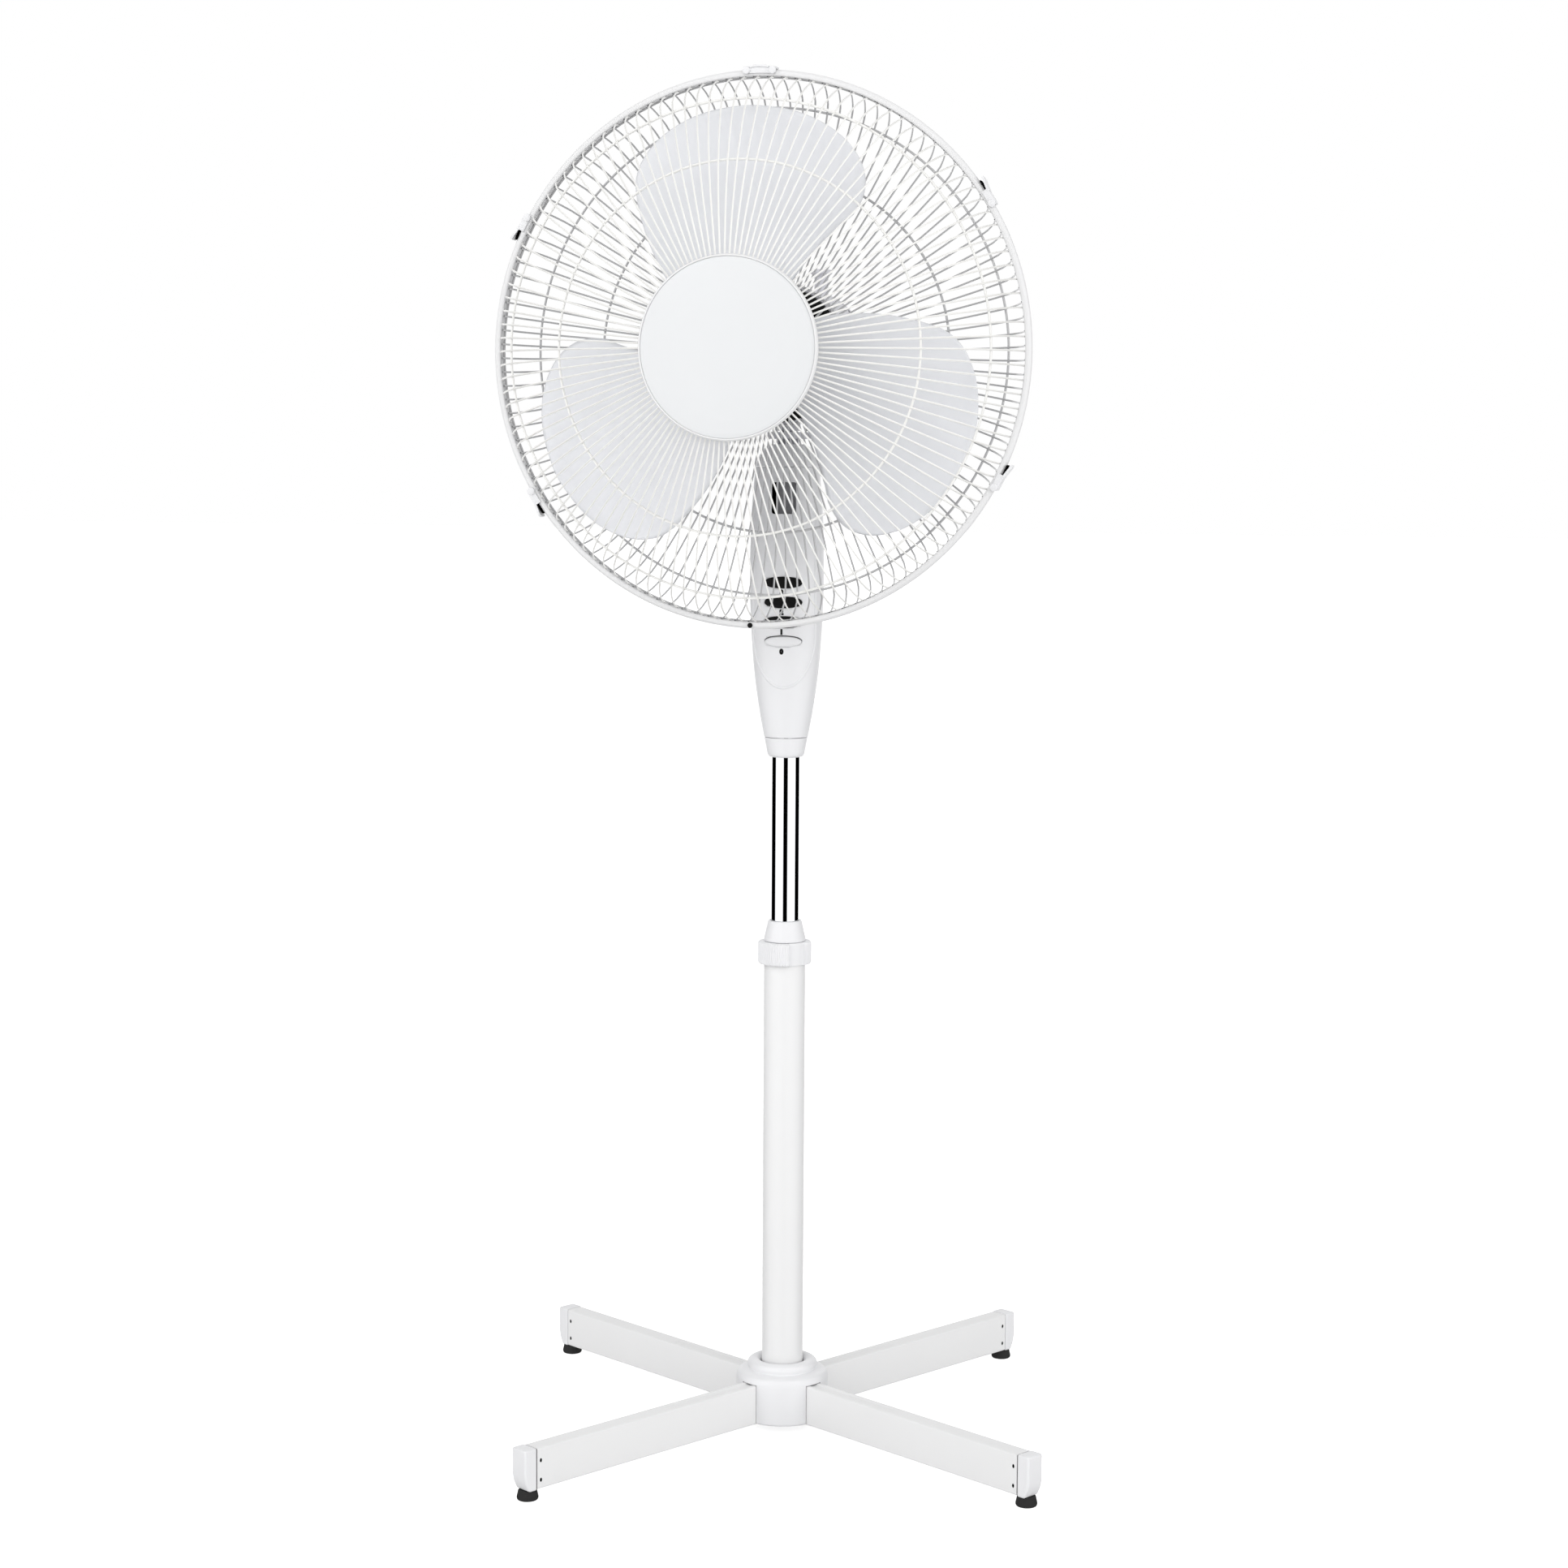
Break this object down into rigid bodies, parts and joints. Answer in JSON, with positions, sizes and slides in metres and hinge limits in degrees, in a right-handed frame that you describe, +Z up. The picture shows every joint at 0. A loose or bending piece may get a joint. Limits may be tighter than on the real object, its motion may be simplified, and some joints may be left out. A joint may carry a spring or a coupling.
{
  "type": "pedestal fan",
  "caption": "Free-standing pedestal fan: cross base with rubber feet, telescopic pole, control column with keys, tilting and swinging head with a wire guard and broad blades.",
  "frame": {"origin": "on the floor, on the pole's axis, at the middle of the cross base", "axes": "+Z up the pole; the head blows towards -Y at rest; +X is to the right of the head as seen from in front"},
  "size_m": [0.4962, 0.4962, 1.1298],
  "materials": {
    "white_paint": "satin white paint",
    "white_plastic": "smooth white moulding",
    "grey_plastic": "fine grained grey moulding",
    "black_plastic": "satin black moulding",
    "black_rubber": "matt black rubber",
    "chrome": "polished chrome plate",
    "steel": "zinc-plated steel",
    "painted_wire": "powder-coated warm white wire",
    "clear_plastic": "smoky translucent plastic"
  },
  "bodies": {
    "base": {"leg_bar_a": "white_paint", "leg_bar_b": "white_paint", "end_cap_0": "white_plastic", "end_cap_1": "white_plastic", "end_cap_2": "white_plastic", "end_cap_3": "white_plastic", "foot_0": "black_rubber", "foot_1": "black_rubber", "foot_2": "black_rubber", "foot_3": "black_rubber", "hub_cover": "white_plastic", "pole_foot": "steel", "base_bolt": "steel", "base_washer": "steel", "outer_tube": "white_paint", "tube_collar": "white_plastic", "collet": "white_plastic"},
    "ring": {"height_ring": "white_plastic"},
    "mast": {"inner_tube": "chrome", "inner_tube_bush": "black_plastic", "column_front": "white_plastic", "column_back": "white_plastic", "column_ferrule": "white_plastic", "column_screw_0": "steel", "column_screw_1": "steel", "switch_block": "black_plastic", "neck_collar": "grey_plastic", "tilt_bolt": "steel", "tilt_nut": "steel"},
    "key_3_body": {"key_3": "black_plastic"},
    "key_2_body": {"key_2": "black_plastic"},
    "key_1_body": {"key_1": "black_plastic"},
    "key_0_body": {"key_0": "white_plastic"},
    "yoke": {"tilt_yoke": "grey_plastic"},
    "link": {"swing_link": "steel"},
    "head": {"swing_arm": "grey_plastic", "motor_front_plate": "steel", "motor_cover": "grey_plastic", "stator": "steel", "gear_case": "black_plastic", "bearing_front": "steel", "bearing_rear": "steel", "guard_nut": "white_plastic", "rear_guard": "painted_wire", "front_guard": "painted_wire", "front_cap": "white_plastic", "guard_band": "painted_wire", "guard_screw": "black_plastic", "top_clip": "white_plastic"},
    "crank_body": {"crank": "steel"},
    "knob": {"swing_knob": "grey_plastic"},
    "rotor": {"motor_shaft": "steel", "rotor_core": "steel", "blades": "clear_plastic", "spinner": "white_plastic"},
    "clip_0_body": {"clip_0": "white_plastic"},
    "clip_1_body": {"clip_1": "white_plastic"},
    "clip_2_body": {"clip_2": "white_plastic"},
    "clip_3_body": {"clip_3": "white_plastic"}
  },
  "joints": [
    {"name": "height_ring_turn", "type": "hinge", "parent": "base", "child": "ring", "pos_m": [0, 0, 0.408], "axis": [0, 0, 1], "range_deg": [-180, 30]},
    {"name": "height_slide", "type": "slide", "parent": "base", "child": "mast", "axis": [0, 0, 1], "range_m": [-0.125, 0.16]},
    {"name": "key_3_press", "type": "slide", "parent": "mast", "child": "key_3_body", "axis": [-0.1305, 0.9914, 0], "range_m": [0, 0.0035], "stiffness_N_per_m": 600},
    {"name": "key_2_press", "type": "slide", "parent": "mast", "child": "key_2_body", "axis": [-0.1305, 0.9914, 0], "range_m": [0, 0.0035], "stiffness_N_per_m": 600},
    {"name": "key_1_press", "type": "slide", "parent": "mast", "child": "key_1_body", "axis": [-0.1305, 0.9914, 0], "range_m": [0, 0.0035], "stiffness_N_per_m": 600},
    {"name": "key_0_press", "type": "slide", "parent": "mast", "child": "key_0_body", "axis": [-0.1305, 0.9914, 0], "range_m": [0, 0.0035], "stiffness_N_per_m": 600},
    {"name": "head_tilt", "type": "hinge", "parent": "mast", "child": "yoke", "pos_m": [0, 0, 0.812], "axis": [0.9914, 0.1305, 0], "range_deg": [-18, 12]},
    {"name": "head_swing", "type": "hinge", "parent": "yoke", "child": "head", "pos_m": [0, 0, 0.8525], "axis": [0, 0, 1], "range_deg": [-34.5, 49.5]},
    {"name": "link_turn", "type": "hinge", "parent": "yoke", "child": "link", "pos_m": [0.01628, 0.01425, 0.848], "axis": [0, 0, 1], "range_deg": [-45, 60]},
    {"name": "blade_spin", "type": "hinge", "parent": "head", "child": "rotor", "pos_m": [0, -0.1, 0.9075], "axis": [0, -1, 0], "continuous": true},
    {"name": "crank_turn", "type": "hinge", "parent": "head", "child": "crank_body", "pos_m": [0, 0.066, 0.87], "axis": [0, 0, 1], "continuous": true},
    {"name": "swing_knob_pull", "type": "slide", "parent": "head", "child": "knob", "axis": [0, 0, 1], "range_m": [0, 0.008]},
    {"name": "clip_0_open", "type": "hinge", "parent": "head", "child": "clip_0_body", "pos_m": [0.18259, -0.0906, 1.02382], "axis": [-0.5373, 0, 0.8434], "range_deg": [0, 65]},
    {"name": "clip_1_open", "type": "hinge", "parent": "head", "child": "clip_1_body", "pos_m": [-0.19116, -0.0906, 1.00914], "axis": [-0.4695, 0, -0.8829], "range_deg": [0, 65]},
    {"name": "clip_2_open", "type": "hinge", "parent": "head", "child": "clip_2_body", "pos_m": [-0.1836, -0.0906, 0.79277], "axis": [0.5299, 0, -0.848], "range_deg": [0, 65]},
    {"name": "clip_3_open", "type": "hinge", "parent": "head", "child": "clip_3_body", "pos_m": [0.19204, -0.0906, 0.80753], "axis": [0.4617, 0, 0.887], "range_deg": [0, 65]}
  ],
  "couplings": [
    {"joint": "link_turn", "follows": "head_swing", "ratio": 1.15},
    {"joint": "crank_turn", "follows": "blade_spin", "ratio": -0.01}
  ]
}
